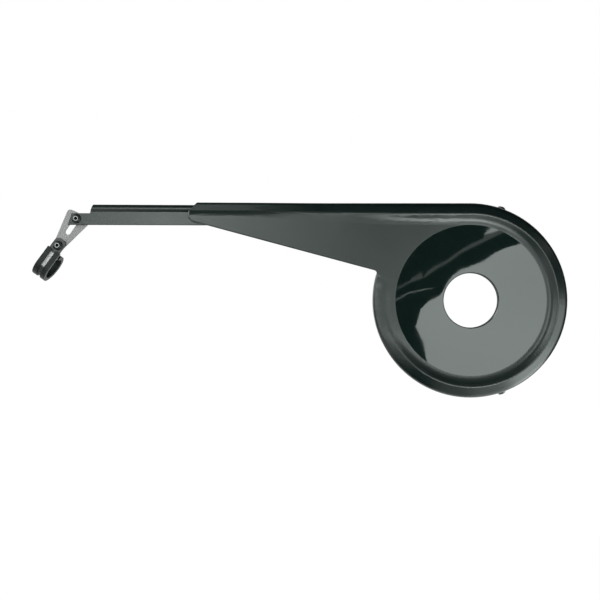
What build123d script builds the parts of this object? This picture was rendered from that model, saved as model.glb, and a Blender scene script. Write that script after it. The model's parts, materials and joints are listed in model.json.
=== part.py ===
from build123d import *
import os
from math import atan2, cos, degrees, radians, sin, sqrt, tan

# Bicycle chain guard: a moulded cover with a chainring disc and a tapering arm, a tail that slides in the arm,
# a slotted link on the tail's end and a rubber-lined clip that holds the link to the chain stay.
# X points forwards along the bicycle, Y inwards to its frame, Z up. The origin is on the crank axis,
# halfway along the collar of the crank hole. Depths are measured behind the front of the disc's flat face.

# Disc of the cover
disc_radius = 98.9
crest_inset = 11.9
crest_height = 5.0
crest_round = 1.2
crest_lean = 30.0
slope_run = 7.0
slope_round = 3.8
shoulder_depth = 8.0
cover_depth = 22.0
wall = 1.8
crank_hole_radius = 27.6
crank_hole_bevel = 0.8
collar_depth = 8.0
collar_wall = 2.0

# Arm of the cover, by its reach behind the crank axis
arm_reach = 284.5
arm_overrun = 8.5
edge_height = 4.3
arm_edge_round = 1.0
corner_round = 3.0
lip_depth = 5.0
lip_root = 1.3
lip_step = 0.3
lip_setback = 12.5
mouth_height = 18.37
mouth_slant = 8.5
mouth_slant_height = 9.3
mouth_shoulder_depth = 5.0
nose_round = 6.0
arm_tilt = 2.25
bend_start = 125.0
bend_end = 245.0
ridge_fade_start = 40.0
ridge_fade_end = 160.0
groove_start = 140.0
groove_end = 230.0
groove_depth = 1.4
groove_inset = 8.7
groove_lean = 8.0
groove_run = 3.6
groove_round = 0.6
groove_foot_round = 1.9
arm_stations = 11

# Where the raised rim runs out beside the arm, and the gap in the flange for the lower run of the chain
rim_fade_start = 240.0
rim_fade_end = 190.0
rim_fade_stations = 9
rim_end_lean = 2.0
rim_end_height = 0.2
rim_end_shoulder = 2.6
rim_flat_overlap = 6.0
chain_gap_start = 206.0
chain_gap_end = 250.0
chain_gap_depth = 7.0

# Tail
tail_setback = 5.8
tail_thickness = 2.0
tail_height = 20.7
bead_radius = 4.0
bead_proud = 1.8
tail_edge_round = 0.6
roof_depth = 16.0
slide_clearance = 0.5
tail_inside = 124.0
bead_end_top = 95.6
bead_end_foot = 99.0
bead_end_height = 8.9
strip_end_top = 117.0
strip_end_foot = 121.0
hook_setbacks = (44.5, 84.5)
hook_width = 10.0
hook_thickness = 2.0
hook_lap = 3.5

# Link
link_screw_reach = 112.4
link_screw_rise = 6.3
link_angle = 56.0
link_length = 32.6
link_thickness = 2.0
link_foot_radius = 5.4
link_half_angle = 11.3
link_top_radius = 38.4
link_corner_round = 3.5
slot_travel = 16.0
slot_width = 5.5
plate_gap = 0.1

# Clip
clip_turn = -2.2
clip_bore_radius = 11.2
lining_thickness = 1.0
band_thickness = 1.2
band_width = 12.0
tab_end = 7.0
tab_corner_round = 4.0
clip_center = 23.6
leaf_gap = 0.1
bend_inside = 1.9
lining_width = 14.4
lining_lip = 1.5
lining_gap = 4.2
lining_start = 5.7
lining_end_angle = 205.0
lining_fit = 0.05

# Screws, nuts and washers, size M5
shank_radius = 2.5
shank_length = 12.0
rim_shank_length = 10.0
shank_tip = 0.5
head_radius = 4.75
head_height = 2.75
head_edge = 0.5
head_flat_radius = 2.6
socket_width = 3.0
socket_depth = 1.6
screw_hole_clearance = 0.1
nut_width = 8.0
nut_height = 4.0
nut_collar_radius = 3.4
nut_collar_height = 1.0
nut_clearance = 0.05
washer_radius = 5.0
washer_thickness = 1.0

# Rim screws
rim_screw_angles = (70.5, -70.5)
rim_screw_depth = 15.0
rim_pad_radius = 6.0
rim_pad_inset = 3.2

os.makedirs("parts", exist_ok=True)

face_y = -collar_depth / 2
front = Plane(origin=(0, face_y, 0), x_dir=(1, 0, 0), z_dir=(0, -1, 0))
crank_axis = Axis((0, 0, 0), (0, 1, 0))
crest_radius = disc_radius - crest_inset
flat_radius = crest_radius - slope_run - slope_round
edge_grade = (disc_radius - mouth_height - edge_height) / arm_reach
edge_slope = degrees(atan2(edge_grade, 1))
tilt_grade = tan(radians(arm_tilt))
through = 4 * cover_depth


def smooth(value, start, end):
    """An even ramp from 0 at start to 1 at end, level at both ends."""
    share = min(max((value - start) / (end - start), 0.0), 1.0)
    return share * share * (3 - 2 * share)


def mix(first, second, share):
    return first + (second - first) * share


def arm_depth(reach):
    """Depth of the arm's flat face: level beside the disc, then bent outwards and straight to the mouth."""
    bent = min(max(reach - bend_start, 0), bend_end - bend_start)
    straight = max(reach - bend_end, 0)
    return -tilt_grade * (bent**2 / (2 * (bend_end - bend_start)) + straight)


def edge_z(reach):
    """Height of the arm's lower edge."""
    return edge_height + edge_grade * reach


def polar(radius, angle):
    return radius * cos(radians(angle)), radius * sin(radians(angle))


def station(reach):
    """Plane across the arm: first axis depth, second axis up."""
    return Plane(origin=(-reach, face_y, 0), x_dir=(0, 1, 0), z_dir=(1, 0, 0))


def spoke(angle):
    """Plane through the crank axis: first axis depth, second axis outwards at the angle."""
    across, up = polar(1, angle)
    return Plane(origin=(0, face_y, 0), x_dir=(0, 1, 0), z_dir=(up, 0, -across))


def inward(along):
    """Direction across the wall from its outside to its inside."""
    return Vector(-along.Y, along.X)


def rounding(before, corner, after, length):
    """Start, middle and end of the arc that rounds a corner, touching both sides at the length from it."""
    arrive = (corner - before).normalized()
    leave = (after - corner).normalized()
    half_turn = radians(arrive.get_angle(leave) / 2)
    middle = corner + (leave - arrive) * (length / (2 + 2 * cos(half_turn)))
    return corner - arrive * length, middle, corner + leave * length


def mitre(before, corner, after):
    """The corner's place on the inside of the wall."""
    first = inward((corner - before).normalized())
    last = inward((after - corner).normalized())
    return corner + (first + last) * (wall / (1 + first.dot(last)))


def shell_section(plane, face, crest, crest_at, run, shoulder, lean, crest_soft, foot_soft, foot):
    """Section of the moulded wall: flange, shoulder, crest, slope and flat face down to its foot."""
    rise = disc_radius - crest_at
    flange_end = Vector(cover_depth, disc_radius)
    shoulder_corner = Vector(face + crest + rise * tan(radians(lean)), disc_radius)
    crest_corner = Vector(face + crest, crest_at)
    slope_foot = Vector(face, crest_at - run)
    flat_end = Vector(face, foot)
    shoulder_soft = face + shoulder - shoulder_corner.X
    shoulder_arc = rounding(flange_end, shoulder_corner, crest_corner, shoulder_soft)
    crest_arc = rounding(shoulder_corner, crest_corner, slope_foot, crest_soft)
    foot_arc = rounding(crest_corner, slope_foot, flat_end, foot_soft)
    top = inward(Vector(-1, 0)) * wall
    lean_in = inward(crest_corner - shoulder_corner).normalized() * wall
    between = (top + lean_in).normalized() * wall
    # Without a crest the slope lies in the face, and its round is a straight side
    sides = [
        Edge.make_line(flange_end, shoulder_arc[0]),
        Edge.make_three_point_arc(*shoulder_arc),
        Edge.make_line(shoulder_arc[2], crest_arc[0]),
        Edge.make_three_point_arc(*crest_arc),
        Edge.make_line(crest_arc[2], foot_arc[0]),
        Edge.make_three_point_arc(*foot_arc) if crest else Edge.make_line(foot_arc[0], foot_arc[2]),
    ]
    inside = [
        foot_arc[2],
        flat_end,
        flat_end + Vector(wall, 0),
        mitre(crest_corner, slope_foot, flat_end),
        mitre(shoulder_corner, crest_corner, slope_foot),
        shoulder_arc[2] + lean_in,
        shoulder_arc[1] + between,
        shoulder_arc[0] + top,
        flange_end + top,
        flange_end,
    ]
    sides += [Edge.make_line(start, end) for start, end in zip(inside, inside[1:])]
    return plane.location * Face(Wire(sides))


def arm_section(reach):
    """Along the arm the raised rim sinks into the face, and a crease opens under the top band."""
    sunk = smooth(reach, ridge_fade_start, ridge_fade_end)
    crease = smooth(reach, groove_start, groove_end)
    inset = mix(crest_inset, groove_inset, smooth(reach, ridge_fade_start, groove_end))
    return shell_section(
        station(reach),
        face=arm_depth(reach),
        crest=mix(-crest_height, 0, sunk) + groove_depth * crease,
        crest_at=disc_radius - inset,
        run=mix(slope_run, groove_run, crease),
        shoulder=mix(shoulder_depth, mouth_shoulder_depth, crease),
        lean=mix(crest_lean, groove_lean, crease),
        crest_soft=mix(crest_round, groove_round, crease),
        foot_soft=mix(slope_round, groove_foot_round, crease),
        foot=edge_height,
    )


def rim_section(angle, flatness):
    """Section of the disc's rim: the full crest, or sunk into a flat face where the arm begins."""
    return shell_section(
        spoke(angle),
        face=0,
        crest=-mix(crest_height, rim_end_height, flatness),
        crest_at=crest_radius,
        run=slope_run,
        shoulder=mix(shoulder_depth, rim_end_shoulder, flatness),
        lean=mix(crest_lean, rim_end_lean, flatness),
        crest_soft=crest_round,
        foot_soft=slope_round,
        foot=flat_radius - rim_flat_overlap,
    )


# The tail's own frame stands at the arm's mouth and follows the arm's tilt
tail_along = (cos(radians(arm_tilt)), sin(radians(arm_tilt)), 0)
tail_back = (-sin(radians(arm_tilt)), cos(radians(arm_tilt)), 0)
tail_origin = (-arm_reach, face_y + arm_depth(arm_reach), 0)
tail_front = Plane(origin=tail_origin, x_dir=tail_along, z_dir=(-tail_back[0], -tail_back[1], 0))
tail_across = Plane(origin=tail_origin, x_dir=tail_back, z_dir=tail_along)
tail_top = disc_radius - wall - slide_clearance
tail_bottom = tail_top - tail_height
strip_top = tail_top - bead_end_height
link_screw_height = tail_bottom + link_screw_rise
bead_height = tail_top - bead_radius
bead_depth = tail_setback + bead_radius - bead_proud
strip_back = tail_setback + tail_thickness
roof_end = tail_setback + roof_depth


def beside(plane, along, up, lift, turn=0):
    """A plane shifted in its own axes and turned about its own normal."""
    return Plane(plane.location * Location((along, up, lift), (0, 0, turn)))


# Where the arm's lower edge meets the disc, with a small round in the corner
corner_radius = disc_radius + corner_round
corner_height = edge_height - corner_round / cos(radians(edge_slope))
corner_reach = (
    sqrt(corner_radius**2 * (1 + edge_grade**2) - corner_height**2) - corner_height * edge_grade
) / (1 + edge_grade**2)
corner_center = Vector(-corner_reach, corner_height + edge_grade * corner_reach)
corner_angle = degrees(atan2(corner_center.Y, corner_center.X))
to_edge = Vector(sin(radians(edge_slope)), cos(radians(edge_slope)))
to_disc = -corner_center.normalized()
corner_on_edge = corner_center + to_edge * corner_round
corner_on_disc = corner_center + to_disc * corner_round
corner_middle = corner_center + (to_edge + to_disc).normalized() * corner_round


def lip_section(reach):
    """Section of the lip turned in along the arm's lower edge."""
    with BuildSketch(station(reach)) as lip:
        with Locations((arm_depth(reach) + lip_depth, edge_z(reach) + lip_step)):
            Rectangle(lip_depth - lip_root, wall, align=(Align.MAX, Align.MIN))
    return lip.sketch


def screw_profile(seat, length):
    """Half section of a button-head screw that stands on its seat."""
    rise = head_height - head_edge
    dome_center = (head_flat_radius**2 + rise**2 - head_radius**2) / (2 * rise) + head_edge
    dome_radius = sqrt(head_radius**2 + (head_edge - dome_center) ** 2)
    dome_middle = (Vector(head_flat_radius, head_height) + Vector(head_radius, head_edge)) / 2
    dome_out = (dome_middle - Vector(0, dome_center)).normalized() * dome_radius
    with BuildSketch(Plane(origin=seat.origin, x_dir=seat.x_dir, z_dir=-seat.y_dir)) as profile:
        with BuildLine():
            Polyline(
                (head_flat_radius, head_height),
                (0, head_height),
                (0, -length),
                (shank_radius - shank_tip, -length),
                (shank_radius, shank_tip - length),
                (shank_radius, 0),
                (head_radius, 0),
                (head_radius, head_edge),
            )
            ThreePointArc(
                (head_radius, head_edge),
                Vector(0, dome_center) + dome_out,
                (head_flat_radius, head_height),
            )
        make_face()
    return profile.sketch


def socket_outline(seat):
    """Hexagon of a screw's socket, at the top of its head."""
    with BuildSketch(beside(seat, 0, 0, head_height)) as socket:
        RegularPolygon(radius=socket_width / 2, side_count=6, major_radius=False)
    return socket.sketch


def ring_outline(plane, radius):
    """Ring that fits over a screw's shank."""
    with BuildSketch(plane) as ring:
        Circle(radius)
        Circle(shank_radius + nut_clearance, mode=Mode.SUBTRACT)
    return ring.sketch


def nut_outline(plane):
    """Hexagon of a nut, with its bore."""
    with BuildSketch(plane) as nut:
        RegularPolygon(radius=nut_width / 2, side_count=6, major_radius=False)
        Circle(shank_radius + nut_clearance, mode=Mode.SUBTRACT)
    return nut.sketch


# Front cover
rim_seats = []
for angle in rim_screw_angles:
    across, up = polar(1, angle)
    rim_seats.append(
        Plane(
            origin=(disc_radius * across, face_y + rim_screw_depth, disc_radius * up),
            x_dir=(0, 1, 0),
            z_dir=(across, 0, up),
        )
    )

with BuildPart() as front_cover:
    # Arm, lofted past the mouth and trimmed to its side view
    arm_steps = [step / (arm_stations - 1) for step in range(arm_stations)]
    loft([arm_section((arm_reach + arm_overrun) * step) for step in arm_steps])
    with BuildSketch(front) as arm_view:
        with BuildLine():
            Polyline(
                corner_on_disc,
                corner_on_disc * ((flat_radius - 2 * rim_flat_overlap) / disc_radius),
                (0, flat_radius - 2 * rim_flat_overlap),
                (0, disc_radius + wall),
                (mouth_slant - arm_reach, disc_radius + wall),
                (mouth_slant - arm_reach, disc_radius),
                (-arm_reach, disc_radius - mouth_slant_height),
                (-arm_reach, edge_z(arm_reach)),
                corner_on_edge,
            )
            ThreePointArc(corner_on_edge, corner_middle, corner_on_disc)
        make_face()
        fillet(arm_view.vertices().group_by(Axis.X)[0].sort_by(Axis.Y)[:1], nose_round)
    extrude(amount=through, both=True, mode=Mode.INTERSECT)
    lower_edges = []
    for edge in front_cover.edges():
        middle = edge @ 0.5
        outside = middle.X < corner_on_disc.X and middle.Z < edge_z(-middle.X) + nose_round / 2
        if outside and middle.Y < face_y + arm_depth(-middle.X) + wall / 4:
            lower_edges.append(edge)
    fillet(lower_edges, arm_edge_round)
    # Turned-in lip along the arm's lower edge
    loft([lip_section(mix(-corner_on_edge.X, arm_reach - lip_setback, step)) for step in arm_steps])
    # Rim, full round the disc and running out flat to the arm
    revolve(rim_section(90, 0), axis=crank_axis, revolution_arc=450 - rim_fade_start)
    fade_sections = []
    for step in range(rim_fade_stations):
        angle = mix(rim_fade_start, corner_angle, step / (rim_fade_stations - 1))
        fade_sections.append(rim_section(angle, smooth(angle, rim_fade_start, rim_fade_end)))
    loft(fade_sections)
    # Flat face of the disc, with the collar of the crank hole behind it
    with BuildSketch(front):
        Circle(flat_radius - rim_flat_overlap / 2)
    extrude(amount=-wall)
    with BuildSketch(front):
        Circle(crank_hole_radius + collar_wall)
    extrude(amount=-collar_depth)
    with BuildSketch(front):
        Circle(crank_hole_radius)
    extrude(amount=-collar_depth, mode=Mode.SUBTRACT)
    hole_edges = front_cover.edges().filter_by(GeomType.CIRCLE)
    hole_edges = hole_edges.filter_by(lambda edge: abs(edge.radius - crank_hole_radius) < crank_hole_bevel)
    chamfer(hole_edges.sort_by(Axis.Y)[0], crank_hole_bevel)
    # Gap in the flange where the lower run of the chain leaves
    with BuildSketch(front.offset(-chain_gap_depth)):
        with BuildLine():
            outer = CenterArc((0, 0), disc_radius + wall, chain_gap_start, chain_gap_end - chain_gap_start)
            inner = CenterArc((0, 0), disc_radius - 3 * wall, chain_gap_start, chain_gap_end - chain_gap_start)
            Line(outer @ 0, inner @ 0)
            Line(outer @ 1, inner @ 1)
        make_face()
    extrude(amount=-cover_depth, mode=Mode.SUBTRACT)
    # Flat pads inside the rim for the nuts, and the screw holes
    for seat in rim_seats:
        with BuildSketch(beside(seat, 0, 0, -rim_pad_inset)):
            Circle(rim_pad_radius)
        extrude(amount=rim_pad_inset - wall / 2)
        with BuildSketch(seat):
            Circle(shank_radius + screw_hole_clearance)
        extrude(amount=cover_depth / 2, both=True, mode=Mode.SUBTRACT)
    # Hooks that guide the tail's lower edge
    hook_top = tail_bottom - slide_clearance
    hook_face = strip_back + slide_clearance
    for setback in hook_setbacks:
        with BuildSketch(beside(tail_across, 0, 0, setback)):
            with BuildLine():
                Polyline(
                    (wall / 2, hook_top - hook_thickness),
                    (hook_face + hook_thickness, hook_top - hook_thickness),
                    (hook_face + hook_thickness, hook_top + hook_lap),
                    (hook_face, hook_top + hook_lap),
                    (hook_face, hook_top),
                    (wall / 2, hook_top),
                    close=True,
                )
            make_face()
        extrude(amount=hook_width / 2, both=True)

front_cover.part.label = "front_cover"
export_step(front_cover.part, "parts/front_cover.step")

# Tail extension
with BuildPart() as tail_extension:
    bead_inside = bead_radius - tail_thickness
    bead_foot = bead_height - sqrt(bead_radius**2 - (bead_depth - tail_setback) ** 2)
    inside_foot = bead_height - sqrt(bead_inside**2 - (strip_back - bead_depth) ** 2)
    with BuildSketch(beside(tail_across, 0, 0, tail_inside)) as tail_section:
        with BuildLine():
            Line((tail_setback, tail_bottom), (tail_setback, bead_foot))
            ThreePointArc(
                (tail_setback, bead_foot),
                (bead_depth - bead_radius, bead_height),
                (bead_depth, tail_top),
            )
            Polyline(
                (bead_depth, tail_top),
                (roof_end, tail_top),
                (roof_end, tail_top - tail_thickness),
                (bead_depth, tail_top - tail_thickness),
            )
            ThreePointArc(
                (bead_depth, tail_top - tail_thickness),
                (bead_depth - bead_inside, bead_height),
                (strip_back, inside_foot),
            )
            Polyline((strip_back, inside_foot), (strip_back, tail_bottom), (tail_setback, tail_bottom))
        make_face()
        fillet(tail_section.vertices().group_by(Axis.Y)[0], tail_edge_round)
    extrude(amount=-tail_inside - strip_end_foot)
    # Side view: the bead's slanted end and the strip that runs on to the screw
    with BuildSketch(tail_front) as tail_view:
        with BuildLine():
            Polyline(
                (tail_inside, tail_top + tail_thickness),
                (-bead_end_top, tail_top + tail_thickness),
                (-bead_end_top, tail_top),
                (-bead_end_foot, strip_top),
                (-strip_end_top, strip_top),
                (-strip_end_foot, tail_bottom),
                (-strip_end_foot, tail_bottom - tail_thickness),
                (tail_inside, tail_bottom - tail_thickness),
                close=True,
            )
        make_face()
    extrude(amount=-through, mode=Mode.INTERSECT)
    with BuildSketch(beside(tail_front, -link_screw_reach, link_screw_height, 0)):
        Circle(shank_radius + screw_hole_clearance)
    extrude(amount=-through, mode=Mode.SUBTRACT)

tail_extension.part.label = "tail_extension"
export_step(tail_extension.part, "parts/tail_extension.step")

# Link plate, hung behind the tail's strip on the tail screw
link_front = strip_back + plate_gap
link_back = link_front + link_thickness
tail_seat = beside(tail_front, -link_screw_reach, link_screw_height, -tail_setback)
link_plane = beside(tail_front, -link_screw_reach, link_screw_height, -link_front, 180 + link_angle)

with BuildPart() as link_plate:
    side_grade = tan(radians(link_half_angle))
    foot_half = link_foot_radius / cos(radians(link_half_angle))
    with BuildSketch(link_plane) as link_view:
        with BuildLine():
            Polyline(
                (-link_top_radius, foot_half + side_grade * (link_length + link_top_radius)),
                (link_length, foot_half),
                (link_length, -foot_half),
                (-link_top_radius, -foot_half - side_grade * (link_length + link_top_radius)),
                close=True,
            )
        make_face()
        with Locations((link_length, 0)):
            Circle(link_foot_radius)
            Circle(link_top_radius, mode=Mode.INTERSECT)
        fillet(link_view.vertices().group_by(Axis.X)[0], link_corner_round)
    extrude(amount=-link_thickness)
    # Slot for the tail screw, which sits at its upper end, and the hole for the clip's screw
    with BuildSketch(link_plane):
        with Locations((slot_travel / 2, 0)):
            SlotCenterToCenter(slot_travel, slot_width)
        with Locations((link_length, 0)):
            Circle(shank_radius + screw_hole_clearance)
    extrude(amount=-link_thickness, mode=Mode.SUBTRACT)

link_plate.part.label = "link_plate"
export_step(link_plate.part, "parts/link_plate.step")

# Clip: its own frame lies on the front of its tabs, first axis from the screw to the loop
tab_stack = 2 * band_thickness + leaf_gap
clip_seat = beside(link_plane, link_length, 0, plate_gap + tab_stack, clip_turn)
clip_side = Plane(origin=clip_seat.origin, x_dir=clip_seat.x_dir, z_dir=clip_seat.y_dir)
band_inner = clip_bore_radius + lining_thickness
band_outer = band_inner + band_thickness
loop_center = beside(clip_seat, clip_center, 0, -band_outer).origin
loop_axis = Axis(loop_center, clip_seat.y_dir)
bend_outside = bend_inside + band_thickness
bend_depth = tab_stack + bend_inside
bend_at = clip_center - sqrt((band_outer + bend_inside) ** 2 - (band_outer - bend_depth) ** 2)
bend_angle = degrees(atan2(band_outer - bend_depth, clip_center - bend_at))

with BuildPart() as clamp_band:
    # The band leaves the front tab, rounds the loop and bends back into the rear tab
    with BuildSketch(clip_side):
        with BuildLine():
            Line((-tab_end, 0), (clip_center, 0))
            CenterArc((clip_center, band_outer), band_outer, -90, 270 + bend_angle)
            CenterArc((bend_at, bend_depth), bend_inside, bend_angle, -90 - bend_angle)
            Polyline(
                (bend_at, tab_stack),
                (-tab_end, tab_stack),
                (-tab_end, tab_stack - band_thickness),
                (bend_at, tab_stack - band_thickness),
            )
            CenterArc((bend_at, bend_depth), bend_outside, -90, 90 + bend_angle)
            CenterArc((clip_center, band_outer), band_inner, 180 + bend_angle, -270 - bend_angle)
            Polyline((clip_center, band_thickness), (-tab_end, band_thickness), (-tab_end, 0))
        make_face()
    extrude(amount=band_width / 2, both=True)
    with BuildSketch(clip_seat) as band_view:
        with Locations((-tab_end, 0)):
            Rectangle(tab_end + clip_center + 2 * band_outer, band_width, align=(Align.MIN, Align.CENTER))
        fillet(band_view.vertices().group_by(Axis.X)[0], tab_corner_round)
        Circle(shank_radius + screw_hole_clearance, mode=Mode.SUBTRACT)
    extrude(amount=-through, mode=Mode.INTERSECT)

clamp_band.part.label = "clamp_band"
export_step(clamp_band.part, "parts/clamp_band.step")

# Rubber lining: a channel that holds the band by both edges
lining_outer = band_outer + lining_lip
lining_inside_start = bend_at + bend_outside + slide_clearance
lining_plane = Plane(origin=loop_center, x_dir=clip_seat.y_dir, z_dir=clip_seat.x_dir)

with BuildPart() as clamp_rubber:
    with BuildSketch(lining_plane) as channel:
        with Locations((0, clip_bore_radius)):
            Rectangle(lining_width, lining_outer - clip_bore_radius, align=(Align.CENTER, Align.MIN))
        with Locations((0, band_inner - lining_fit)):
            Rectangle(
                band_width + 2 * lining_fit,
                band_thickness + 2 * lining_fit,
                align=(Align.CENTER, Align.MIN),
                mode=Mode.SUBTRACT,
            )
            Rectangle(lining_gap, 2 * lining_outer, align=(Align.CENTER, Align.MIN), mode=Mode.SUBTRACT)
    revolve(channel.sketch, axis=loop_axis, revolution_arc=90 + lining_end_angle)
    extrude(channel.sketch, amount=lining_inside_start - clip_center)
    # Ahead of the rear tab only the lips and edges of the channel go on
    with BuildSketch(lining_plane) as lips:
        add(channel.sketch_local)
        with Locations((0, band_inner - lining_fit)):
            Rectangle(2 * lining_width, 2 * clip_bore_radius, align=(Align.CENTER, Align.MAX), mode=Mode.SUBTRACT)
    extrude(lips.sketch, amount=lining_start - clip_center)

clamp_rubber.part.label = "clamp_rubber"
export_step(clamp_rubber.part, "parts/clamp_rubber.step")

# Tail screw with its washer and nut
washer_lift = link_back + plate_gap - tail_setback
nut_lift = washer_lift + washer_thickness

with BuildPart() as tail_screw:
    revolve(screw_profile(tail_seat, shank_length), axis=Axis(tail_seat.origin, tail_seat.z_dir))
    extrude(socket_outline(tail_seat), amount=-socket_depth, mode=Mode.SUBTRACT)

tail_screw.part.label = "tail_screw"
export_step(tail_screw.part, "parts/tail_screw.step")

with BuildPart() as tail_washer:
    extrude(ring_outline(beside(tail_seat, 0, 0, -washer_lift), washer_radius), amount=-washer_thickness)

tail_washer.part.label = "tail_washer"
export_step(tail_washer.part, "parts/tail_washer.step")

with BuildPart() as tail_nut:
    nut_seat = beside(tail_seat, 0, 0, -nut_lift)
    extrude(nut_outline(nut_seat), amount=-nut_height)
    extrude(ring_outline(nut_seat, nut_collar_radius), amount=-nut_height - nut_collar_height)

tail_nut.part.label = "tail_nut"
export_step(tail_nut.part, "parts/tail_nut.step")

# Clip screw with its washer and nut
clip_washer_lift = tab_stack + link_thickness + 2 * plate_gap
clip_nut_lift = clip_washer_lift + washer_thickness

with BuildPart() as clamp_screw:
    revolve(screw_profile(clip_seat, shank_length), axis=Axis(clip_seat.origin, clip_seat.z_dir))
    extrude(socket_outline(clip_seat), amount=-socket_depth, mode=Mode.SUBTRACT)

clamp_screw.part.label = "clamp_screw"
export_step(clamp_screw.part, "parts/clamp_screw.step")

with BuildPart() as clamp_washer:
    extrude(ring_outline(beside(clip_seat, 0, 0, -clip_washer_lift), washer_radius), amount=-washer_thickness)

clamp_washer.part.label = "clamp_washer"
export_step(clamp_washer.part, "parts/clamp_washer.step")

with BuildPart() as clamp_nut:
    nut_seat = beside(clip_seat, 0, 0, -clip_nut_lift)
    extrude(nut_outline(nut_seat), amount=-nut_height)
    extrude(ring_outline(nut_seat, nut_collar_radius), amount=-nut_height - nut_collar_height)

clamp_nut.part.label = "clamp_nut"
export_step(clamp_nut.part, "parts/clamp_nut.step")

# Screws in the disc's rim, with nuts on the pads inside
with BuildPart() as rim_screws:
    for seat in rim_seats:
        revolve(screw_profile(seat, rim_shank_length), axis=Axis(seat.origin, seat.z_dir))
        extrude(socket_outline(seat), amount=-socket_depth, mode=Mode.SUBTRACT)

rim_screws.part.label = "rim_screws"
export_step(rim_screws.part, "parts/rim_screws.step")

with BuildPart() as rim_nuts:
    for seat in rim_seats:
        nut_seat = beside(seat, 0, 0, -rim_pad_inset)
        extrude(nut_outline(nut_seat), amount=-nut_height)
        extrude(ring_outline(nut_seat, nut_collar_radius), amount=-nut_height - nut_collar_height)

rim_nuts.part.label = "rim_nuts"
export_step(rim_nuts.part, "parts/rim_nuts.step")
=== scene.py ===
# %% [markdown]
# # A bicycle chain guard, dressed for its picture
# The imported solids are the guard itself, in metres, with the crank axis at the origin, X forwards
# along the bicycle, Y inwards to its frame and Z up. This lesson gives every surface its finish,
# builds a small studio of lit and dark cards, and places the camera. The solids already have the
# right shape, so they stay. Only the cover is shown by a copy with better-laid triangles.

import json
import math

import bmesh
import bpy
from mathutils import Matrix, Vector


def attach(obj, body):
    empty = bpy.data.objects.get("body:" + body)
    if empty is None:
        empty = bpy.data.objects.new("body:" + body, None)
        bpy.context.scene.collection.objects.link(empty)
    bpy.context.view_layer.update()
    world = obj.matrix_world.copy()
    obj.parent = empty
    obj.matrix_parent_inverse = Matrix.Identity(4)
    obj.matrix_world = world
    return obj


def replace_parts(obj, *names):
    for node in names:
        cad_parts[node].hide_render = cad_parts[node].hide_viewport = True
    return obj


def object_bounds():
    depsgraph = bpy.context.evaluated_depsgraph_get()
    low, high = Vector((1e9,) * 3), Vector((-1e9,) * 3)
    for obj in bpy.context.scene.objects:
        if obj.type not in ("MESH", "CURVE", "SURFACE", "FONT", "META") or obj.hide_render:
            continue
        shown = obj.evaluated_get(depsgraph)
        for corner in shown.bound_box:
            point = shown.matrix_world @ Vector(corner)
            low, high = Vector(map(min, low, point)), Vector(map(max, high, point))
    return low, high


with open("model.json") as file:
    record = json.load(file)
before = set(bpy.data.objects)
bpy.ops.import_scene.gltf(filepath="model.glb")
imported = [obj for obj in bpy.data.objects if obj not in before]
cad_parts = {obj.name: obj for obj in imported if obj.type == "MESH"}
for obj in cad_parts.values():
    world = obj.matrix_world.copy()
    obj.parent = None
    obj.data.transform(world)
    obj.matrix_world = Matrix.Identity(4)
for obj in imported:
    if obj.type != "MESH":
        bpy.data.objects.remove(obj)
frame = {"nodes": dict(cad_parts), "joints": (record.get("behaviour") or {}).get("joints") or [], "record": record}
cad_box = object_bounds()
nodes = frame["nodes"]
joints = {joint["name"]: joint for joint in frame["joints"]}
mounts = {mount["name"]: mount for mount in frame["record"]["mounts"]}
scene = bpy.context.scene
print("nodes:", ", ".join(sorted(nodes)))

# %% [markdown]
# ## The camera
# The photograph looks square at the guard's outer side. At the crank hole the right wall just
# shows, and at the clip the loop's right end does, so the lens stands close to the guard, a little
# left of the disc. Its frame is shifted sideways instead of being turned, which keeps the disc
# round.

# %% Camera
VIEW_PLACE = Vector((-0.122, -0.84, 0.0))
FACE_DEPTH = -0.004
FRAME_WIDTH = 0.6048
FRAME_CENTER = (-0.1724, 0.0004)

camera_data = bpy.data.cameras.new("camera")
face_distance = FACE_DEPTH - VIEW_PLACE.y
camera_data.angle = 2 * math.atan(FRAME_WIDTH / 2 / face_distance)
camera_data.shift_x = (FRAME_CENTER[0] - VIEW_PLACE.x) / FRAME_WIDTH
camera_data.shift_y = (FRAME_CENTER[1] - VIEW_PLACE.z) / FRAME_WIDTH
camera = bpy.data.objects.new("camera", camera_data)
camera.location = VIEW_PLACE
camera.rotation_euler = (math.pi / 2, 0.0, 0.0)
scene.collection.objects.link(camera)
scene.camera = camera
print("camera at", [round(value, 3) for value in camera.location])

# %% [markdown]
# ## Shader sums
# A finish is easier to read as a formula than as a web of nodes. `Wire` stands for one socket and
# turns Python's operators into Math nodes. `Tree` makes every other node: its settings come first,
# then the values or wires of its sockets.

# %% Wires and trees
class Wire:
    """An output socket that can be used in sums."""

    def __init__(self, tree, socket):
        self.tree = tree
        self.socket = socket

    def math(self, operation, first, second):
        settings = {"operation": operation}
        return self.tree.node("ShaderNodeMath", settings, {0: first, 1: second})

    def __add__(self, other):
        return self.math("ADD", self, other)

    def __radd__(self, other):
        return self.math("ADD", other, self)

    def __sub__(self, other):
        return self.math("SUBTRACT", self, other)

    def __rsub__(self, other):
        return self.math("SUBTRACT", other, self)

    def __mul__(self, other):
        return self.math("MULTIPLY", self, other)

    def __pow__(self, other):
        return self.math("POWER", self, other)

    def __lt__(self, other):
        return self.math("LESS_THAN", self, other)

    def __gt__(self, other):
        return self.math("GREATER_THAN", self, other)

    def larger(self, other):
        return self.math("MAXIMUM", self, other)


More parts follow.
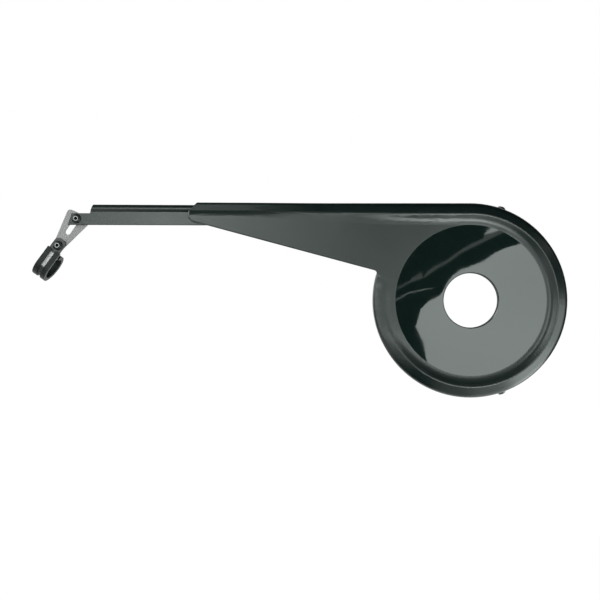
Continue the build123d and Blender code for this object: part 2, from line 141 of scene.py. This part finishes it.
class Tree:
    """A node tree that is filled by formulas."""

    def __init__(self, owner):
        owner.use_nodes = True
        self.nodes = owner.node_tree.nodes
        self.links = owner.node_tree.links
        self.nodes.clear()

    def node(self, kind, settings=None, inputs=None, output=0):
        made = self.nodes.new(kind)
        for name, value in (settings or {}).items():
            if name == "stops":
                self.set_stops(made.color_ramp, value)
            else:
                setattr(made, name, value)
        for name, value in (inputs or {}).items():
            if isinstance(value, Wire):
                self.links.new(value.socket, made.inputs[name])
            else:
                made.inputs[name].default_value = value
        return Wire(self, made.outputs[output]) if made.outputs else None

    def set_stops(self, ramp, stops):
        while len(ramp.elements) < len(stops):
            ramp.elements.new(1.0)
        for element, (place, level) in zip(ramp.elements, stops):
            element.position = place
            element.color = (level, level, level, 1.0)


print("formulas ready")

# %% [markdown]
# ## Patterns
# All patterns read Object coordinates, which are the row's own metres here because every object
# sits at the origin. `streaks` is noise drawn out along a line, as brushing is along a plate.
# `from_axis` measures how far a point is from a screw's axis, and how far along it.

# %% Pattern helpers
class Finish(Tree):
    """A material with the patterns that this guard's finishes share."""

    def __init__(self, name):
        self.material = bpy.data.materials.new(name)
        super().__init__(self.material)
        self.place = self.node("ShaderNodeTexCoord", output="Object")

    def axes(self):
        parts = self.node("ShaderNodeSeparateXYZ", inputs={0: self.place})
        return [Wire(self, socket) for socket in parts.socket.node.outputs]

    def vector(self, operation, first, second=None, output=0):
        inputs = {0: first} if second is None else {0: first, 1: second}
        return self.node("ShaderNodeVectorMath", {"operation": operation}, inputs, output)

    def from_axis(self, point, axis, place=None):
        offset = self.vector("SUBTRACT", place or self.place, point)
        across = self.vector("CROSS_PRODUCT", offset, axis)
        distance = self.vector("LENGTH", across, output="Value")
        return distance, self.vector("DOT_PRODUCT", offset, axis, output="Value")

    def noise(self, size, detail=2.0, roughness=0.5, place=None):
        inputs = {
            "Vector": place or self.place,
            "Scale": 1.0 / size,
            "Detail": detail,
            "Roughness": roughness,
        }
        return self.node("ShaderNodeTexNoise", inputs=inputs)

    def streaks(self, turn, length, width, detail=2.0):
        """Noise drawn out along a line that is turned about Y, and through the depth."""
        inputs = {
            "Vector": self.place,
            "Rotation": (0.0, turn, 0.0),
            "Scale": (length, length, width),
        }
        along = self.node("ShaderNodeMapping", {"vector_type": "TEXTURE"}, inputs)
        return self.noise(1.0, detail, place=along)

    def ramp(self, value, stops):
        return self.node("ShaderNodeValToRGB", {"stops": stops}, {0: value})

    def step(self, value, start, end):
        """0 before the start and 1 after the end, with an even rise between them."""
        inputs = {0: value, 1: start, 2: end, 3: 0.0, 4: 1.0}
        return self.node("ShaderNodeMapRange", {"interpolation_type": "SMOOTHSTEP"}, inputs)

    def blend(self, share, first, second):
        settings = {"data_type": "RGBA"}
        return self.node("ShaderNodeMix", settings, {0: share, 6: first, 7: second}, output=2)

    def bump(self, height, depth, under=None):
        inputs = {"Height": height, "Distance": depth, "Strength": 1.0}
        if under is not None:
            inputs["Normal"] = under
        return self.node("ShaderNodeBump", inputs=inputs)

    def close(self, **sockets):
        inputs = {name.replace("_", " "): value for name, value in sockets.items()}
        surface = self.node("ShaderNodeBsdfPrincipled", inputs=inputs)
        self.node("ShaderNodeOutputMaterial", inputs={"Surface": surface})
        return self.material


def dress(material, *names):
    """Gives the named solids one material."""
    for name in names:
        slots = nodes[name].data.materials
        slots.clear()
        slots.append(material)
    print(material.name, "on", ", ".join(names))


print("patterns ready")

# %% [markdown]
# ## Satin black plastic
# The cover and the tail are moulded in black plastic with a fine spark-eroded grain. The plastic
# itself is almost black: what shows is the studio in its sheen. So the grain goes into a small
# bump, and the roughness wanders a little, as it does where a mould is worn smoother. Shoes and
# trouser legs have left a few fine scuffs.

# %% Moulded grain
PLASTIC_BLACK = (0.0030, 0.0068, 0.0061, 1.0)
PLASTIC_RUBBED = (0.0068, 0.0112, 0.0103, 1.0)
SATIN_ROUGHNESS = 0.29
GRAIN_SIZE = 0.00045
GRAIN_DEPTH = 0.000012
WANDER_SIZE = 0.04
WANDER_RANGE = 0.06
RUB_SIZE = 0.018
RUB_STOPS = ((0.52, 0.0), (0.80, 1.0))
SCUFF_LENGTH = 0.014
SCUFF_WIDTH = 0.00035
SCUFF_TURN = 0.35
SCUFF_STOPS = ((0.69, 0.0), (0.78, 1.0))
SCUFF_ROUGHER = 0.07
MARK_SHARE = 0.5


def satin_grain(finish):
    """Bump, roughness and colour of the moulded grain."""
    fine = finish.noise(GRAIN_SIZE, detail=3.0, roughness=0.6)
    wander = finish.noise(WANDER_SIZE, detail=3.0, roughness=0.55)
    rub = finish.ramp(finish.noise(RUB_SIZE, detail=5.0, roughness=0.65), RUB_STOPS)
    scuff = finish.ramp(finish.streaks(SCUFF_TURN, SCUFF_LENGTH, SCUFF_WIDTH), SCUFF_STOPS)
    marks = rub * MARK_SHARE + scuff * MARK_SHARE
    color = finish.blend(marks, PLASTIC_BLACK, PLASTIC_RUBBED)
    roughness = SATIN_ROUGHNESS + (wander - 0.5) * WANDER_RANGE + scuff * SCUFF_ROUGHER
    return finish.bump(fine, GRAIN_DEPTH), roughness, color


def tail_finish():
    finish = Finish("tail_plastic")
    grain, roughness, color = satin_grain(finish)
    return finish.close(Base_Color=color, Roughness=roughness, Normal=grain)


dress(tail_finish(), "tail_extension")

# %% [markdown]
# ## The polished disc
# The flat centre of the disc is polished in the mould, and its edge against the grain is a sharp
# circle. A mask of the radius and the depth tells the two apart. The polished face isn't quite
# flat, as thin mouldings never are, so a wide shallow bump bends what it mirrors, and a thin haze
# from wiping dulls it in places. The collar's wall in the crank hole is left rough.

# %% Cover
GLOSS_RADIUS = 0.0762
GLOSS_FRONT = -0.0038
BORE_RADIUS = 0.0280
BORE_ROUGHER = 0.45
WARP_SIZE = 0.055
WARP_DEPTH = 0.00022
PEEL_SIZE = 0.0035
PEEL_DEPTH = 0.0000012
HAZE_SIZE = 0.03
HAZE_STOPS = ((0.35, 0.012), (0.75, 0.045))


def cover_finish():
    finish = Finish("cover_plastic")
    across, depth, up = finish.axes()
    radius = (across * across + up * up) ** 0.5
    gloss = (radius < GLOSS_RADIUS) * (depth < GLOSS_FRONT)
    bore = (radius < BORE_RADIUS) * (depth > GLOSS_FRONT)
    grain, roughness, color = satin_grain(finish)
    warp = finish.bump(finish.noise(WARP_SIZE, detail=1.0, roughness=0.4), WARP_DEPTH)
    polish = finish.bump(finish.noise(PEEL_SIZE, detail=1.0), PEEL_DEPTH, under=warp)
    normal = finish.node(
        "ShaderNodeMix",
        {"data_type": "VECTOR"},
        {0: gloss, 4: grain, 5: polish},
        output=1,
    )
    haze = finish.ramp(finish.noise(HAZE_SIZE, detail=4.0, roughness=0.6), HAZE_STOPS)
    return finish.close(
        Base_Color=color,
        Roughness=roughness * (1 - gloss) + haze * gloss + bore * BORE_ROUGHER,
        Normal=normal,
    )


cover_plastic = cover_finish()
print("made", cover_plastic.name)

# %% [markdown]
# ## A smooth crest for the cover
# The cover's solid has the right shape, but its triangles run crosswise in the narrow rounding of
# the rim's crest, and a sheen shows them as a row of dots. Subdividing would only copy the fault,
# so a merged copy of the mesh takes its place: `beautify_fill` turns the edges of that strip along
# the rim, without moving a corner. Flat faces stay flat, sharp corners stay sharp, and all else is
# shaded smooth.

# %% Cover shell
CREST_STRIP = (0.0858, 0.0883)
CREST_FRONT = -0.0055
CREST_PASSES = 3
MERGE_DISTANCE = 2e-6
FLAT_COSINE = 0.999995
SHARP_ANGLE = math.radians(34)
PLAIN_AREA = 12e-6
PLAIN_ANGLE = math.radians(1.2)


def on_crest(face):
    inner, outer = CREST_STRIP
    places = [vertex.co for vertex in face.verts]
    return all(
        inner < math.hypot(place.x, place.z) < outer and place.y < CREST_FRONT
        for place in places
    )


def turn_crest_edges(shape):
    strip = [face for face in shape.faces if on_crest(face)]
    edges = {edge for face in strip for edge in face.edges}
    inner = [edge for edge in edges if all(on_crest(face) for face in edge.link_faces)]
    bmesh.ops.beautify_fill(shape, faces=strip, edges=inner, method="ANGLE")
    return len(strip)


def is_corner(edge):
    """Large plain faces count as cornered at a far smaller angle than the small ones."""
    angle = edge.calc_face_angle(0.0)
    plain = any(face.calc_area() > PLAIN_AREA for face in edge.link_faces)
    return angle > SHARP_ANGLE or (plain and angle > PLAIN_ANGLE)


def shade(shape):
    shape.normal_update()
    for face in shape.faces:
        face.smooth = abs(face.normal.y) < FLAT_COSINE
    for edge in shape.edges:
        edge.smooth = not is_corner(edge)


shell = bmesh.new()
shell.from_mesh(nodes["front_cover"].data)
bmesh.ops.remove_doubles(shell, verts=shell.verts, dist=MERGE_DISTANCE)
for _ in range(CREST_PASSES):
    strip_size = turn_crest_edges(shell)
shade(shell)
shell_mesh = bpy.data.meshes.new("cover_shell")
shell.to_mesh(shell_mesh)
shell.free()
shell_mesh.materials.append(cover_plastic)
cover_shell = bpy.data.objects.new("cover_shell", shell_mesh)
scene.collection.objects.link(cover_shell)
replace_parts(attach(cover_shell, "cover"), "front_cover")
print("cover shell:", len(shell_mesh.polygons), "faces,", strip_size, "along the crest")

# %% [markdown]
# ## Brushed steel
# The link and the clip's band are cut from sheet that was brushed lengthwise. The brushing is
# noise that is drawn out along the plate and through its depth, so that on the band the lines
# follow the loop. It goes into the colour, the roughness and the bump.

# %% Link
link_axis = Vector(joints["link_slide"]["axis"])
LINK_TURN = math.atan2(link_axis.z, link_axis.x)
LINK_STEEL = ((0.170, 0.162, 0.163, 1.0), (0.265, 0.254, 0.256, 1.0))
STEEL_ROUGHNESS = 0.46
STEEL_ROUGHER = 0.10
BRUSH_LENGTH = 0.018
BRUSH_WIDTH = 0.00055
BRUSH_DEPTH = 0.000004
BRUSH_STOPS = ((0.34, 0.0), (0.66, 1.0))
BRUSH_SHARE = 0.6
STAIN_SIZE = 0.005


def brushed_finish(name, turn, steel, painted_shade=None):
    """Brushed sheet; the optional function gives masks of the painted shade on it."""
    finish = Finish(name)
    brush = finish.streaks(-turn, BRUSH_LENGTH, BRUSH_WIDTH)
    soft_brush = finish.streaks(-turn, BRUSH_LENGTH, BRUSH_WIDTH, detail=1.0)
    stain = finish.noise(STAIN_SIZE, detail=4.0, roughness=0.6)
    tone = finish.ramp(brush, BRUSH_STOPS) * BRUSH_SHARE + stain * (1 - BRUSH_SHARE)
    color = finish.blend(tone, *steel)
    metal = 1.0
    # Painted shade: duller grey where the first mask is, near black and not metallic where the second is.
    if painted_shade:
        tab_shade, bend_shade = painted_shade(finish)
        color = finish.blend(bend_shade, finish.blend(tab_shade, color, TAB_SHADE_GREY), BEND_SHADE_BLACK)
        metal = 1 - bend_shade
    return finish.close(
        Base_Color=color,
        Metallic=metal,
        Roughness=STEEL_ROUGHNESS + brush * STEEL_ROUGHER + stain * STEEL_ROUGHER,
        Normal=finish.bump(soft_brush, BRUSH_DEPTH),
    )


dress(brushed_finish("link_steel", LINK_TURN, LINK_STEEL), "link_plate")

# %% [markdown]
# ## The clip's band
# The band is the same kind of steel. Its tab round the screw gets a painted shade of duller grey,
# and past the bend at the foot of the loop it fades to a painted shade of near black, not metallic.
# Both are masks: one of the distance from the clip's screw, one of how far down the loop a point
# lies.

# %% Band
clip_axis = Vector(mounts["stay_clamp"]["axis"])
BAND_TURN = math.atan2(clip_axis.z, clip_axis.x) + math.pi / 2
BAND_STEEL = ((0.300, 0.290, 0.292, 1.0), (0.460, 0.445, 0.448, 1.0))
# Colours of the painted shade on the tab and past the loop's bend.
TAB_SHADE_GREY = (0.070, 0.070, 0.071, 1.0)
BEND_SHADE_BLACK = (0.010, 0.013, 0.012, 1.0)
TAB_RADIUS = 0.0082
TAB_EDGE = 0.0012
# Where the painted shade past the loop's bend starts, and its run to full shade.
BEND_SHADE_START = 0.0004
BEND_SHADE_RUN = 0.0022


# Masks of the painted shade: round the clip's screw, and down the loop past its bend.
def band_painted_shade(finish):
    screw = joints["clip_swing"]
    distance, _ = finish.from_axis(screw["pos_m"], screw["axis"])
    tab_shade = finish.step(distance, TAB_RADIUS + TAB_EDGE, TAB_RADIUS)
    offset = finish.vector("SUBTRACT", finish.place, mounts["stay_clamp"]["pos_m"])
    down = Vector((clip_axis.z, 0.0, -clip_axis.x)).normalized()
    depth = finish.vector("DOT_PRODUCT", offset, down, output="Value")
    return tab_shade, finish.step(depth, BEND_SHADE_START, BEND_SHADE_START + BEND_SHADE_RUN)


dress(brushed_finish("band_steel", BAND_TURN, BAND_STEEL, band_painted_shade), "clamp_band")

# %% [markdown]
# ## Plated nuts and washers
# The small turned parts are zinc-plated: duller than the brushed steel, with a cloudy, slightly
# warm bloom.

# %% Washers and nuts
ZINC_CLEAR = (0.42, 0.43, 0.42, 1.0)
ZINC_CLOUDY = (0.30, 0.30, 0.27, 1.0)
ZINC_ROUGHNESS = 0.30
CLOUD_SIZE = 0.0022
CLOUD_STOPS = ((0.38, 0.0), (0.68, 1.0))
CLOUD_ROUGHER = 0.14
PIT_SIZE = 0.00025
PIT_DEPTH = 0.000006


def plated_finish():
    finish = Finish("zinc_plate")
    cloud = finish.ramp(finish.noise(CLOUD_SIZE, detail=4.0, roughness=0.6), CLOUD_STOPS)
    return finish.close(
        Base_Color=finish.blend(cloud, ZINC_CLEAR, ZINC_CLOUDY),
        Metallic=1.0,
        Roughness=ZINC_ROUGHNESS + cloud * CLOUD_ROUGHER,
        Normal=finish.bump(finish.noise(PIT_SIZE), PIT_DEPTH),
    )


dress(plated_finish(), "tail_washer", "tail_nut", "clamp_washer", "clamp_nut", "rim_nuts")

# %% [markdown]
# ## Black screws
# The button heads are blackened. The flat top round each socket gets a painted highlight, a patchy
# light ring, and the socket itself a painted shade, dark and rougher. Both are masks of the
# distance from the screw's axis. The two rim screws stand mirror-like above and below the crank,
# so absolute coordinates serve both at once; their heads also get painted glints, small bright
# grey spots.

# %% Screws
SOCKET_RADIUS = 0.00160
RING_RADIUS = 0.00222
RING_EDGE = 0.00015
RING_STOPS = ((0.30, 0.55), (0.62, 1.0))
HEAD_TOP = 0.0026
SCREW_BLACK = (0.007, 0.008, 0.008, 1.0)
SCREW_SHEEN = (0.022, 0.024, 0.024, 1.0)
# Painted shade in the socket, and the grey of the painted highlight and painted glints.
SOCKET_SHADE = (0.0015, 0.0018, 0.0018, 1.0)
HIGHLIGHT_GREY = (0.36, 0.375, 0.37, 1.0)
OXIDE_ROUGHNESS = 0.30
OXIDE_SPECULAR = 0.18
MOTTLE_SIZE = 0.0010
MOTTLE_ROUGHER = 0.16
MOTTLE_DEPTH = 0.000004
SOCKET_ROUGHER = 0.30
# Size and threshold of the painted glints on the rim screws.
GLINT_SIZE = 0.0016
GLINT_STOPS = ((0.57, 0.0), (0.61, 1.0))
RIM_SCREW_ANGLE = math.radians(70.5)
RIM_SEAT = 0.0989


def screw_finish(name, point, axis, mirrored=False, glints=0.0):
    """Black oxide round the axis that starts at the head's seat and points out of the head."""
    finish = Finish(name)
    place = finish.vector("ABSOLUTE", finish.place) if mirrored else finish.place
    distance, along = finish.from_axis(point, axis, place)
    mottle = finish.noise(MOTTLE_SIZE, detail=3.0, roughness=0.6)
    inside = finish.step(distance, SOCKET_RADIUS + RING_EDGE, SOCKET_RADIUS)
    disc = finish.step(distance, RING_RADIUS + RING_EDGE, RING_RADIUS)
    # Painted highlight on the flat top round the socket, and painted glints on the rim screws.
    ring = disc * (along > HEAD_TOP) * (1 - inside)
    ring_highlight = ring * finish.ramp(mottle, RING_STOPS)
    glint_spots = finish.ramp(finish.noise(GLINT_SIZE, detail=1.0), GLINT_STOPS) * glints
    # Painted shade in the socket, which is also made rougher.
    shaded_socket = inside * (along > 0.0)
    oxide = finish.blend(mottle, SCREW_BLACK, SCREW_SHEEN)
    painted_shade = finish.blend(shaded_socket, oxide, SOCKET_SHADE)
    return finish.close(
        Base_Color=finish.blend(ring_highlight.larger(glint_spots), painted_shade, HIGHLIGHT_GREY),
        Roughness=OXIDE_ROUGHNESS + mottle * MOTTLE_ROUGHER + shaded_socket * SOCKET_ROUGHER,
        Normal=finish.bump(mottle, MOTTLE_DEPTH),
        Specular_IOR_Level=OXIDE_SPECULAR,
    )


for screw, joint in (("tail_screw", "link_swing"), ("clamp_screw", "clip_swing")):
    dress(screw_finish(screw + "_black", joints[joint]["pos_m"], joints[joint]["axis"]), screw)
rim_axis = Vector((math.cos(RIM_SCREW_ANGLE), 0.0, math.sin(RIM_SCREW_ANGLE)))
rim_seat = Vector(mounts["bracket_screws"]["pos_m"]) + rim_axis * RIM_SEAT
rim_black = screw_finish("rim_screw_black", rim_seat, rim_axis, mirrored=True, glints=1.0)
dress(rim_black, "rim_screws")

# %% [markdown]
# ## Rubber lining
# The clip's lining is extruded rubber: dull black, with faint lines along the extrusion and a
# dusty bloom.

# %% Lining
RUBBER_BLACK = (0.0050, 0.0066, 0.0062, 1.0)
RUBBER_DUSTY = (0.011, 0.013, 0.0125, 1.0)
RUBBER_ROUGHNESS = 0.38
RUBBER_SPECULAR = 0.22
LINE_LENGTH = 0.02
LINE_WIDTH = 0.0005
LINE_DEPTH = 0.000004
PORE_SIZE = 0.0005
PORE_DEPTH = 0.000003
BLOOM_SIZE = 0.004
BLOOM_STOPS = ((0.42, 0.0), (0.80, 1.0))
BLOOM_ROUGHER = 0.12


def rubber_finish():
    finish = Finish("lining_rubber")
    line = finish.streaks(-BAND_TURN, LINE_LENGTH, LINE_WIDTH)
    pores = finish.noise(PORE_SIZE, detail=3.0, roughness=0.6)
    bloom = finish.ramp(finish.noise(BLOOM_SIZE, detail=4.0, roughness=0.6), BLOOM_STOPS)
    pitted = finish.bump(pores, PORE_DEPTH)
    return finish.close(
        Base_Color=finish.blend(bloom, RUBBER_BLACK, RUBBER_DUSTY),
        Roughness=RUBBER_ROUGHNESS + bloom * BLOOM_ROUGHER,
        Normal=finish.bump(line, LINE_DEPTH, under=pitted),
        Specular_IOR_Level=RUBBER_SPECULAR,
    )


dress(rubber_finish(), "clamp_rubber")

# %% [markdown]
# ## The room
# Black plastic shows little but what it reflects. The room is white to the camera and to mirrors,
# and a little dimmer as a light, so that the background stays pure white.

# %% World
WHITE = (1.0, 1.0, 1.0, 1.0)
ROOM_WHITE = 1.0
ROOM_LIGHT = 0.7


def seen_directly(tree):
    """1 for what the camera sees by itself, in a mirror or through glass, else 0."""
    rays = tree.node("ShaderNodeLightPath").socket.node.outputs
    names = ("Is Camera Ray", "Is Glossy Ray", "Is Transmission Ray")
    camera_ray, glossy, through = (Wire(tree, rays[name]) for name in names)
    return camera_ray.larger(glossy).larger(through)


world = bpy.data.worlds.new("studio")
scene.world = world
room = Tree(world)
light = room.node("ShaderNodeBackground", inputs={"Color": WHITE, "Strength": ROOM_LIGHT})
white = room.node("ShaderNodeBackground", inputs={"Color": WHITE, "Strength": ROOM_WHITE})
both = room.node("ShaderNodeMixShader", inputs={0: seen_directly(room), 1: light, 2: white})
room.node("ShaderNodeOutputWorld", inputs={"Surface": both})
scene.view_settings.view_transform = "Standard"
print("room light", ROOM_LIGHT)

# %% [markdown]
# ## Cards and floor
# Everything else in the studio is a flat card: lying, standing across the view or standing beside
# the guard. Cards light the guard and show in its mirrors, but the camera doesn't see them. The
# floor is the one that it does see: white paper that glows by itself and keeps a soft shadow.

# %% Floor
PAPER_WHITE = (0.86, 0.86, 0.86, 1.0)
FLOOR_WHITE = 1.06
FLOOR_GLOW = 0.92
FLOOR_DROP = 0.31
FLOOR_HALF = 7.0
FLOOR_HEIGHT = cad_box[0].z - FLOOR_DROP


def card(name, outline, material, in_picture=False):
    """A flat card with the given corners, which is part of the studio."""
    shape = bmesh.new()
    shape.faces.new([shape.verts.new(point) for point in outline])
    mesh = bpy.data.meshes.new(name)
    shape.to_mesh(mesh)
    shape.free()
    mesh.materials.append(material)
    made = bpy.data.objects.new(name, mesh)
    made.visible_camera = in_picture
    scene.collection.objects.link(made)


def level(x_range, y_range, height):
    """Corners of a card that lies flat."""
    (left, right), (near, far) = x_range, y_range
    corners = ((left, near), (right, near), (right, far), (left, far))
    return [(across, depth, height) for across, depth in corners]


def standing(corners, depth):
    """Corners of a card of any outline that stands across the view."""
    return [(across, depth, up) for across, up in corners]


def upright(x_range, depth, z_range):
    """Corners of a rectangular card that stands across the view."""
    (left, right), (low, high) = x_range, z_range
    return standing(((left, low), (right, low), (right, high), (left, high)), depth)


def sideways(across, y_range, z_range):
    """Corners of a card that stands beside the guard."""
    (near, far), (low, high) = y_range, z_range
    corners = ((near, low), (far, low), (far, high), (near, high))
    return [(across, depth, up) for depth, up in corners]


def floor_finish():
    material = bpy.data.materials.new("floor_paper")
    tree = Tree(material)
    paper = tree.node("ShaderNodeBsdfDiffuse", inputs={"Color": PAPER_WHITE})
    glow = tree.node("ShaderNodeEmission", inputs={"Color": WHITE, "Strength": FLOOR_WHITE})
    share = seen_directly(tree) * FLOOR_GLOW
    mix = tree.node("ShaderNodeMixShader", inputs={0: share, 1: paper, 2: glow})
    tree.node("ShaderNodeOutputMaterial", inputs={"Surface": mix})
    return material


floor_span = (-FLOOR_HALF, FLOOR_HALF)
card("floor", level(floor_span, floor_span, FLOOR_HEIGHT), floor_finish(), in_picture=True)
print("floor at", round(FLOOR_HEIGHT, 3))

# %% [markdown]
# ## Lit cards
# The arm's face mirrors what stands behind the camera, so soft boxes stand there, the brightest
# where the arm's light left end looks. The rim's slopes look down, up and sideways: lit cards lie
# on the floor in front and at the right, lit walls stand at both sides, and the ceiling is nearly
# dark. A card on the floor behind the guard lights its rear. The number of each card is its
# strength. The lamps are tubes with a slight green cast.

# %% Soft boxes, walls and ceiling
LAMP_TINT = (0.91, 1.0, 0.965)
WEAVE_SIZE = 0.5
WEAVE_STOPS = ((0.3, 0.90), (0.7, 1.0))
BOX_DEPTH = -1.95
BOX_RISE = (0.10, 0.75)
BOX_FOOT = (-0.30, 0.10)
CARD_HEIGHT = FLOOR_HEIGHT + 0.01
CEILING = 0.90
LEFT_WALL = -0.98
RIGHT_WALL = 0.75
NEAR = (-0.90, -0.40)
BELOW = (-0.40, 0.20)
BEHIND = (0.60, 2.40)
BESIDE = (-0.80, 0.00)
ABOVE_FRONT = (-2.20, -0.60)
ABOVE_BACK = (-0.60, 1.20)
LIT_CARDS = {
    "left_box": (upright((-0.65, -0.45), BOX_DEPTH, BOX_RISE), 9.05),
    "left_box_inner": (upright((-0.45, -0.28), BOX_DEPTH, BOX_RISE), 3.11),
    "left_box_outer": (upright((-0.95, -0.65), BOX_DEPTH, BOX_RISE), 4.07),
    "left_box_low": (upright((-0.95, -0.28), BOX_DEPTH, BOX_FOOT), 3.73),
    "right_box": (upright((0.00, 0.95), BOX_DEPTH, (-0.60, 0.40)), 5.48),
    "near_left_card": (level((-0.15, 0.05), NEAR, CARD_HEIGHT), 6.37),
    "near_right_card": (level((0.05, 0.25), NEAR, CARD_HEIGHT), 13.17),
    "under_inner": (level((-0.12, 0.05), BELOW, CARD_HEIGHT), 0.60),
    "under_middle": (level((0.05, 0.25), BELOW, CARD_HEIGHT), 1.46),
    "under_right": (level((0.25, 1.00), BELOW, CARD_HEIGHT), 5.53),
    "right_wall": (sideways(RIGHT_WALL, BESIDE, (-0.38, 0.00)), 3.46),
    "left_wall": (sideways(LEFT_WALL, BESIDE, (0.00, 0.40)), 4.79),
    "left_high_wall": (sideways(LEFT_WALL, BESIDE, (0.40, 0.88)), 11.00),
    "behind_card": (level((-1.30, 1.30), BEHIND, CARD_HEIGHT), 1.20),
    "ceiling_front": (level((-0.45, 1.40), ABOVE_FRONT, CEILING), 0.29),
}


def lit_cloth(name, radiance):
    """A soft box's cloth, a little brighter in some places than in others."""
    tree = Finish(name + "_cloth")
    weave = tree.ramp(tree.noise(WEAVE_SIZE, detail=1.0), WEAVE_STOPS)
    cloth = tree.vector("MULTIPLY", weave, LAMP_TINT)
    glow = tree.node("ShaderNodeEmission", inputs={"Color": cloth, "Strength": radiance})
    tree.node("ShaderNodeOutputMaterial", inputs={"Surface": glow})
    return tree.material


for name, (outline, radiance) in LIT_CARDS.items():
    card(name, outline, lit_cloth(name, radiance))
print(len(LIT_CARDS), "lit cards")

# %% [markdown]
# ## Dark cards
# Where the photograph shows a dark slope, a card of black velvet keeps the white room out of its
# sheen.

# %% Velvet
NAP_SIZE = 0.02
VELVET_DARK = (0.002, 0.002, 0.002, 1.0)
VELVET_LIGHT = (0.004, 0.004, 0.004, 1.0)
RIGHT_BACK_WALL = 0.55
FAR_LEFT = (-1.70, -0.95)
DARK_CARDS = {
    "under_left": level((-0.45, -0.12), BELOW, CARD_HEIGHT),
    "far_left_upper": upright(FAR_LEFT, BOX_DEPTH, (0.20, 0.75)),
    "left_lower_wall": sideways(LEFT_WALL, BESIDE, (-0.38, 0.00)),
    "near_far_left": level((-0.45, -0.15), NEAR, CARD_HEIGHT),
    "near_far_right": level((0.25, 1.00), NEAR, CARD_HEIGHT),
    "right_upper_wall": sideways(RIGHT_WALL, BESIDE, (0.00, 0.40)),
    "right_back_wall": sideways(RIGHT_BACK_WALL, (0.02, 0.80), (-0.38, 0.50)),
    "far_left_foot": upright(FAR_LEFT, BOX_DEPTH, (-0.30, 0.20)),
    "left_box_foot": upright((-0.90, -0.20), BOX_DEPTH, (-0.80, -0.30)),
    "ceiling_left": level((-1.60, -0.45), ABOVE_FRONT, CEILING),
    "ceiling_back": level((-1.60, 1.40), ABOVE_BACK, CEILING),
}


def velvet_finish():
    tree = Finish("black_velvet")
    color = tree.blend(tree.noise(NAP_SIZE), VELVET_DARK, VELVET_LIGHT)
    return tree.close(Base_Color=color, Roughness=1.0, Specular_IOR_Level=0.0)


velvet = velvet_finish()
for name, outline in DARK_CARDS.items():
    card(name, outline, velvet)
print(len(DARK_CARDS), "dark cards")

# %% [markdown]
# ## Flags
# The polished disc mirrors the soft box at the right. Two black flags in front of that box give the
# disc its dark corner. Through the gap between them shows a dim card, as a grey streak that opens
# into a light wedge at its right end, and a narrow slit in the lower flag draws the fine line below
# the streak. All corners are (X, Z) pairs.

# %% Flags and streak
FLAG_DEPTH = -1.90
STREAK_DEPTH = -1.92
STREAK_GLOW = 1.0
FLAG_LEFT = -0.10
STREAK_TOP = [
    (FLAG_LEFT, -0.013),
    (0.036, 0.052),
    (0.077, 0.071),
    (0.082, 0.078),
    (0.114, 0.096),
    (0.117, 0.079),
    (0.123, 0.081),
    (0.127, 0.092),
    (0.213, 0.145),
    (0.260, 0.176),
    (0.311, 0.212),
]
WEDGE_TOP = [(0.312, 0.228), (0.338, 0.257), (0.365, 0.295)]
DARK_EDGE = [
    (0.135, -0.25),
    (0.124, -0.193),
    (0.117, -0.140),
    (0.092, -0.084),
    (0.113, -0.025),
    (0.136, 0.005),
    (0.175, 0.030),
    (0.212, 0.075),
    (0.246, 0.102),
    (0.313, 0.132),
    (0.355, 0.155),
    (0.397, 0.171),
    (0.480, 0.194),
]
STREAK_FOOT = [
    (0.500, 0.262),
    (0.389, 0.2300),
    (0.312, 0.1950),
    (0.260, 0.1610),
    (0.213, 0.1310),
    (0.127, 0.0790),
    (0.082, 0.0660),
    (0.036, 0.0445),
    (FLAG_LEFT, -0.0205),
]
FINE_SLIT = [
    (FLAG_LEFT, -0.0500),
    (0.034, 0.0095),
    (0.073, 0.0285),
    (0.120, 0.0358),
    (0.160, 0.0440),
    (0.120, 0.0342),
    (0.073, 0.0267),
    (0.034, 0.0077),
    (FLAG_LEFT, -0.0520),
]
UPPER_FLAG = [(FLAG_LEFT, 0.65), *STREAK_TOP, *WEDGE_TOP, (0.420, 0.650)]
LOWER_FLAG = [(FLAG_LEFT, -0.70), (0.135, -0.70), *DARK_EDGE, *STREAK_FOOT, *FINE_SLIT]
STREAK_CARD = [
    (FLAG_LEFT, -0.060),
    (0.300, 0.160),
    (0.420, 0.215),
    (0.420, 0.252),
    (0.373, 0.2425),
    (0.312, 0.2265),
    (0.280, 0.235),
    (FLAG_LEFT, 0.020),
]

card("upper_flag", standing(UPPER_FLAG, FLAG_DEPTH), velvet)
card("lower_flag", standing(LOWER_FLAG, FLAG_DEPTH), velvet)
streak_cloth = lit_cloth("streak_card", STREAK_GLOW)
card("streak_card", standing(STREAK_CARD, STREAK_DEPTH), streak_cloth)
print("two flags, with a streak between them")

# %% [markdown]
# ## Finish
# The guard's length, read from the box round its solids.

# %% Sizes and finish
print("length of the guard:", round(cad_box[1].x - cad_box[0].x, 4), "m")
